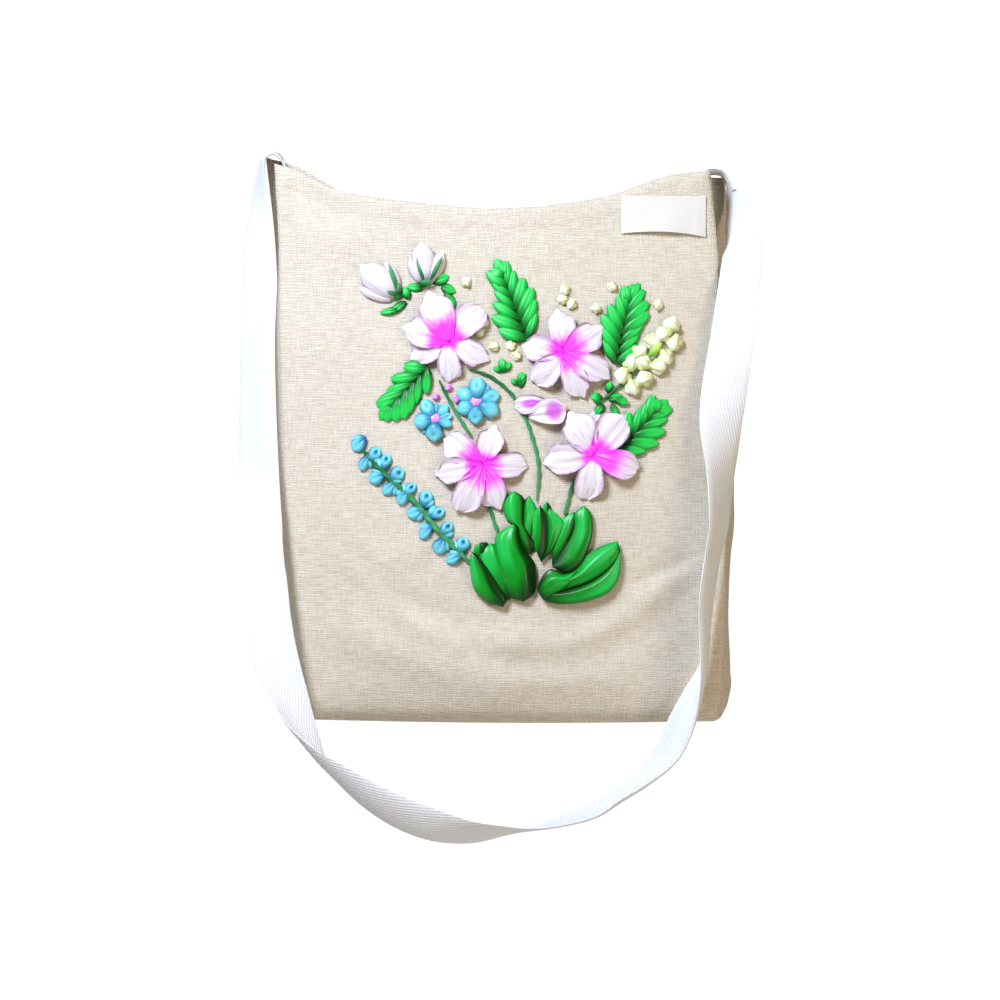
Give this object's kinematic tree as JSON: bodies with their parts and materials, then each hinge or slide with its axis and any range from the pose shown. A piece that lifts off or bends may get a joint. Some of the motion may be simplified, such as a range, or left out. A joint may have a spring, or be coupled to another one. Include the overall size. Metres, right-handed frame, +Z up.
{
  "type": "jute shoulder bag",
  "caption": "Open-topped jute tote with sewn-in gussets, a long webbing shoulder strap, a blank cloth label and a spray of ribbon-embroidered flowers and leaves on its front.",
  "frame": {"origin": "midway between the two hanging top corners, at their height and at the middle of the bag's depth", "axes": "+Z up, -Y out of the embroidered front, +X to the right as the front is seen"},
  "size_m": [0.3489, 0.1178, 0.4606],
  "materials": {
    "jute": "undyed plain-woven jute, matt, slubby",
    "webbing": "white cotton webbing, fine twill ribs, matt",
    "label": "blank off-white cotton tape, matt",
    "petal": "white satin ribbon dyed magenta at the heart, soft sheen",
    "blue": "turquoise ribbon, soft sheen",
    "cream": "pale yellow ribbon knots, soft sheen",
    "pink": "magenta ribbon knots, soft sheen",
    "leaf": "emerald satin ribbon, glossy",
    "stem": "twisted green ribbon, soft sheen"
  },
  "bodies": {
    "root": {"front_panel": "jute", "back_panel": "jute", "gusset_left": "jute", "gusset_right": "jute", "gusset_base": "jute", "strap": "webbing", "label": "label", "flower_upper_left": "petal", "flower_upper_right": "petal", "flower_lower_left": "petal", "flower_lower_right": "petal", "half_open_flower": "petal", "bud_left": "petal", "bud_right": "petal", "blue_flower_left": "blue", "blue_flower_right": "blue", "blue_spike": "blue", "cream_spray": "cream", "cream_knots_top": "cream", "cream_knot_upper_right": "cream", "cream_knot_by_leaf": "cream", "cream_knot_far_right": "cream", "cream_knot_upper_left": "cream", "cream_knots_middle": "cream", "cream_knots_lower": "cream", "pink_knot_top": "pink", "pink_knot_left": "pink", "base_leaf_1": "leaf", "base_leaf_2": "leaf", "base_leaf_3": "leaf", "base_leaf_4": "leaf", "base_leaf_5": "leaf", "base_leaf_6": "leaf", "base_leaf_7": "leaf", "leaf_top": "leaf", "leaf_right_upper": "leaf", "leaf_right_lower": "leaf", "leaf_left": "leaf", "spray_leaves": "leaf", "bud_leaves_left": "leaf", "bud_leaves_right": "leaf", "bud_leaf_middle": "leaf", "stem_leaf_upper": "leaf", "stem_leaf_lower": "leaf", "stem_left": "stem", "stem_middle": "stem", "stem_lower_left": "stem", "stem_lower_right": "stem"}
  },
  "joints": []
}
